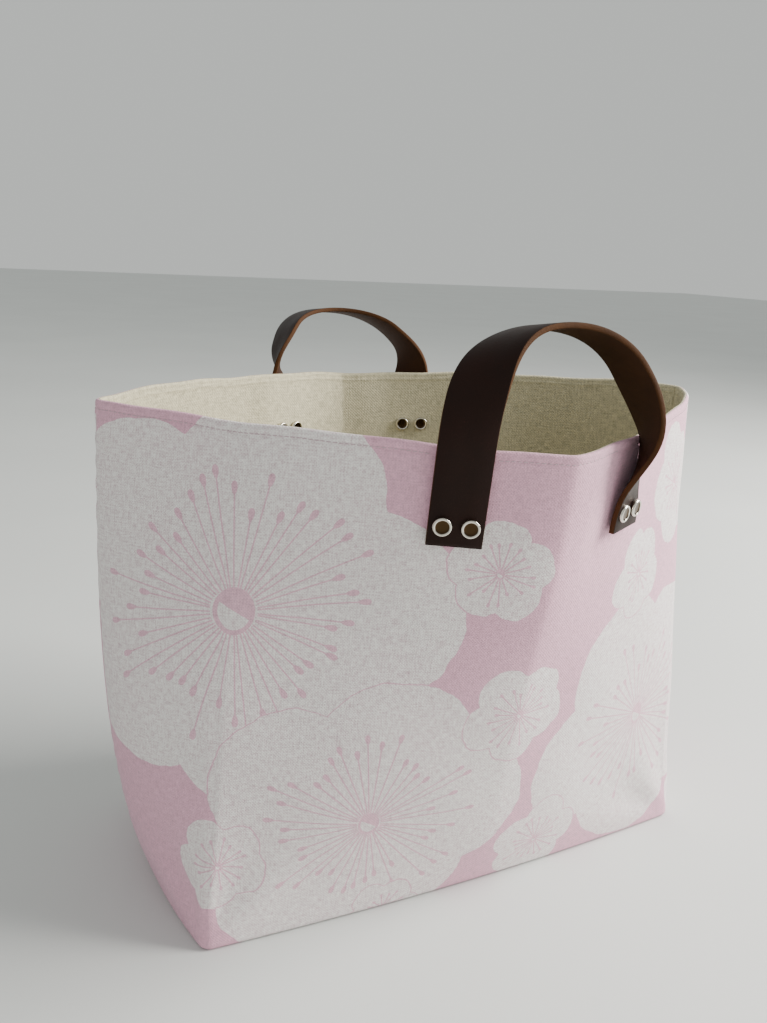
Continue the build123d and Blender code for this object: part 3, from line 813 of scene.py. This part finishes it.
# %% Instancing tree
def copies_tree(name):
    """Copies an object onto the points of a mesh, turned so that Z follows 'facing' and X 'along'."""
    tree = bpy.data.node_groups.new(name, "GeometryNodeTree")
    tree.interface.new_socket("Geometry", in_out="INPUT", socket_type="NodeSocketGeometry")
    tree.interface.new_socket("Copy of", in_out="INPUT", socket_type="NodeSocketObject")
    tree.interface.new_socket("Finish", in_out="INPUT", socket_type="NodeSocketMaterial")
    tree.interface.new_socket("Geometry", in_out="OUTPUT", socket_type="NodeSocketGeometry")
    given = add(tree, "NodeGroupInput").outputs
    facing = add(tree, "GeometryNodeInputNamedAttribute", {"Name": "facing"}, data_type="FLOAT_VECTOR")
    along = add(tree, "GeometryNodeInputNamedAttribute", {"Name": "along"}, data_type="FLOAT_VECTOR")
    stand = add(tree, "FunctionNodeAlignRotationToVector", {"Vector": facing.outputs[0]}, axis="Z")
    turn = add(tree, "FunctionNodeAlignRotationToVector", {"Rotation": stand, "Vector": along.outputs[0]},
               axis="X", pivot_axis="Z")
    shape = add(tree, "GeometryNodeObjectInfo", {"Object": given["Copy of"]})
    placed = add(tree, "GeometryNodeInstanceOnPoints",
                 {"Points": given["Geometry"], "Instance": shape.outputs["Geometry"], "Rotation": turn})
    real = add(tree, "GeometryNodeRealizeInstances", {0: placed})
    painted = add(tree, "GeometryNodeSetMaterial", {"Geometry": real, "Material": given["Finish"]})
    add(tree, "NodeGroupOutput", {0: painted})
    return tree


COPIES = copies_tree("copies_on_points")


def scatter(name, places, pattern, material):
    """Points with directions, the pattern copied onto them, and the result as a plain mesh."""
    mesh = bpy.data.meshes.new(name + "_points")
    mesh.from_pydata([p for p, _, _ in places], [], [])
    for label, index in (("facing", 1), ("along", 2)):
        layer = mesh.attributes.new(label, "FLOAT_VECTOR", "POINT")
        layer.data.foreach_set("vector", np.array([tuple(row[index]) for row in places], np.float32).ravel())
    points = bpy.data.objects.new(name + "_points", mesh)
    bpy.context.scene.collection.objects.link(points)
    modifier = points.modifiers.new("copies", "NODES")
    modifier.node_group = COPIES
    sockets = {item.name: item.identifier for item in COPIES.interface.items_tree if item.in_out == "INPUT"}
    modifier[sockets["Copy of"]] = pattern
    modifier[sockets["Finish"]] = material
    evaluated = points.evaluated_get(bpy.context.evaluated_depsgraph_get())
    result = bpy.data.meshes.new_from_object(evaluated)
    piece = bpy.data.objects.new(name, result)
    bpy.context.scene.collection.objects.link(piece)
    bpy.data.objects.remove(points)
    print(name, len(places), "copies,", len(result.polygons), "faces")
    return piece


# %% Lathe for the caps, and the stitch
def lathe(name, profile, steps):
    """A closed turned shape about Z. The profile runs from the axis at the top to the axis at the foot."""
    made = bmesh.new()
    rings = []
    for radius, z in profile:
        if radius == 0:
            rings.append([made.verts.new((0, 0, z * MM))])
            continue
        rings.append([made.verts.new((radius * MM * math.cos(2 * math.pi * i / steps),
                                      radius * MM * math.sin(2 * math.pi * i / steps), z * MM))
                      for i in range(steps)])
    for first, second in zip(rings, rings[1:]):
        for i in range(steps):
            j = (i + 1) % steps
            ring = [first[i % len(first)], second[i % len(second)],
                    second[j % len(second)], first[j % len(first)]]
            made.faces.new(list(dict.fromkeys(ring))).smooth = True
    bmesh.ops.recalc_face_normals(made, faces=made.faces)
    mesh = bpy.data.meshes.new(name)
    made.to_mesh(mesh)
    made.free()
    shape = bpy.data.objects.new(name, mesh)
    bpy.context.scene.collection.objects.link(shape)
    return shape


# a double-cap rivet: its cap has a rolled rim round a shallow dish that the setting die pressed
CAP = [(0, 1.42), (1.5, 1.44), (2.6, 1.5), (3.1, 1.66), (3.45, 1.95), (3.75, 2.08), (4.05, 2.0), (4.3, 1.7),
       (4.46, 1.25), (4.5, 0.8), (4.42, 0.3), (4.2, 0.05), (0, 0.02)]
cap = lathe("rivet_cap_pattern", CAP, 40)
DISH_EDGE = 3.3           # radius of the dish
# marks the dish, where the nickel finish has its painted dark reflection
painted_dark_reflection = cap.data.attributes.new("painted_dark_reflection", "FLOAT", "POINT")
painted_dark_reflection.data.foreach_set("value", [float(v.co.z > 1.2 * MM and math.hypot(v.co.x, v.co.y) < DISH_EDGE * MM)
                                  for v in cap.data.vertices])
caps = []
for plane, names in zip(ENDS, ("left", "right")):
    origin, across, up, out = plane
    for side in (-1, 1):
        foot = origin + across * (side * RIVET_SPACING / 2) + up * (RIVET_FROM_END - STRAP_DROP)
        caps.append((foot, across, out))
outside_caps, inside_caps = [], []
INNER_CAP_DEPTH = 4.6     # from the strap's back face to the lining's face under an inner cap
for flip in (1, -1):
    for foot, across, out in caps:
        for places, offset, direction in ((outside_caps, STRAP_THICK, 1),
                                          (inside_caps, -INNER_CAP_DEPTH, -1)):
            at = (foot + out * offset) * MM
            face = out * direction
            places.append((Vector((at.x, at.y * flip, at.z)), Vector((face.x, face.y * flip, face.z)),
                           Vector((across.x, across.y * flip, across.z))))
RIVET_NODES = [f"{f}_{s}_rivet_" for f in ("front", "back") for s in ("left", "right")]
for name, places, kind in (("rivet_outer_caps", outside_caps, "caps"),
                           ("rivet_inner_caps", inside_caps, "posts")):
    rivets = scatter(name, places, cap, NICKEL)
    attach(rivets, "bin")
    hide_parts(*[node + kind for node in RIVET_NODES])
bpy.data.objects.remove(cap)

# %% Topstitching
STITCH = [(0, 1.1), (0.14, 1.02), (0.22, 0.75), (0.25, 0.3), (0.25, -0.3), (0.22, -0.75),
          (0.14, -1.02), (0, -1.1)]
STITCH_PITCH = 2.7
stitch = lathe("stitch_pattern", STITCH, 6)
stitch.data.transform(Matrix.Rotation(math.pi / 2, 4, "Y"))
for side, back, seed in (("front", False, 1.0), ("back", True, 4.0)):
    count = int(RIM_LENGTH / STITCH_PITCH)
    shares = (np.arange(count) + 0.5) / count
    clear = np.ones(count, bool)
    for middle in (-1, 1):
        clear &= abs((shares - 0.5) * RIM_LENGTH - middle * STRAP_SPACING / 2) > STRAP_WIDTH / 2 + 1
    shares = shares[clear]
    z = rim_height(shares) + wave(shares, seed) - STITCH_DROP
    push = give(shares, z, seed)
    places = []
    x, y = inset(shares, z / WALL_HEIGHT, -push - 0.02)
    ax, ay = inset(shares + 0.002, z / WALL_HEIGHT, -push)
    for i in range(len(shares)):
        along = Vector((ax[i] - x[i], (ay[i] - y[i]), 0)).normalized()
        out = Vector((along.y, -along.x, 0))
        flip = -1 if back else 1
        places.append((Vector((x[i], y[i] * flip, z[i])) * MM, Vector((out.x, out.y * flip, 0)),
                       Vector((along.x, along.y * flip, 0))))
    row = scatter(f"rim_topstitch_{side}", places, stitch, THREAD)
    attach(row, "bin")
bpy.data.objects.remove(stitch)

# %% [markdown]
# ## Floor, light and camera
#
# A plain pale floor, one broad soft light from the right and a weak fill keep the cloth readable:
# the light grazes the walls, so the weave and the hollows show.

# %% Stage
floor_mesh = bpy.data.meshes.new("floor")
floor_mesh.from_pydata([(-9, -9, 0), (9, -9, 0), (9, 9, 0), (-9, 9, 0)], [], [(0, 1, 2, 3)])
floor = bpy.data.objects.new("floor", floor_mesh)
bpy.context.scene.collection.objects.link(floor)
floor_mesh.materials.append(plain("painted floor, matt", "D3D6D4", 0.75, 3.0, 0.00002))

world = bpy.data.worlds.new("studio")
bpy.context.scene.world = world
world.use_nodes = True
world.node_tree.nodes["Background"].inputs["Color"].default_value = colour("D5D8D5")
world.node_tree.nodes["Background"].inputs["Strength"].default_value = 0.9


def softbox(name, place, size, power, code):
    """A square area light that faces the bin."""
    data = bpy.data.lights.new(name, "AREA")
    data.size = size
    data.energy = power
    data.color = colour(code)[:3]
    lamp = bpy.data.objects.new(name, data)
    lamp.location = place
    lamp.rotation_mode = "QUATERNION"
    lamp.rotation_quaternion = (Vector((0, 0, 0.14)) - Vector(place)).to_track_quat("-Z", "Y")
    bpy.context.scene.collection.objects.link(lamp)


softbox("window", (1.5, -0.5, 1.1), 1.1, 95.0, "FFFBF5")
softbox("fill", (-1.6, -1.6, 1.4), 1.6, 2.0, "E9F2F2")

# %% Camera
YAW, PITCH, ROLL = math.radians(26.95), math.radians(16.26), math.radians(-3.08)
CAMERA_PLACE = (-0.2474, -0.4335, 0.3397)
forward = Vector((math.sin(YAW) * math.cos(PITCH), math.cos(YAW) * math.cos(PITCH), -math.sin(PITCH)))
right = Vector((math.cos(YAW), -math.sin(YAW), 0))
down = forward.cross(right)
right, down = (right * math.cos(ROLL) + down * math.sin(ROLL), down * math.cos(ROLL) - right * math.sin(ROLL))
lens_data = bpy.data.cameras.new("camera")
lens_data.lens = 31.36
lens_data.clip_start = 0.01
camera = bpy.data.objects.new("camera", lens_data)
bpy.context.scene.collection.objects.link(camera)
turn = Matrix((right, -down, -forward)).transposed()
camera.matrix_world = Matrix.Translation(CAMERA_PLACE) @ turn.to_4x4()
bpy.context.scene.camera = camera
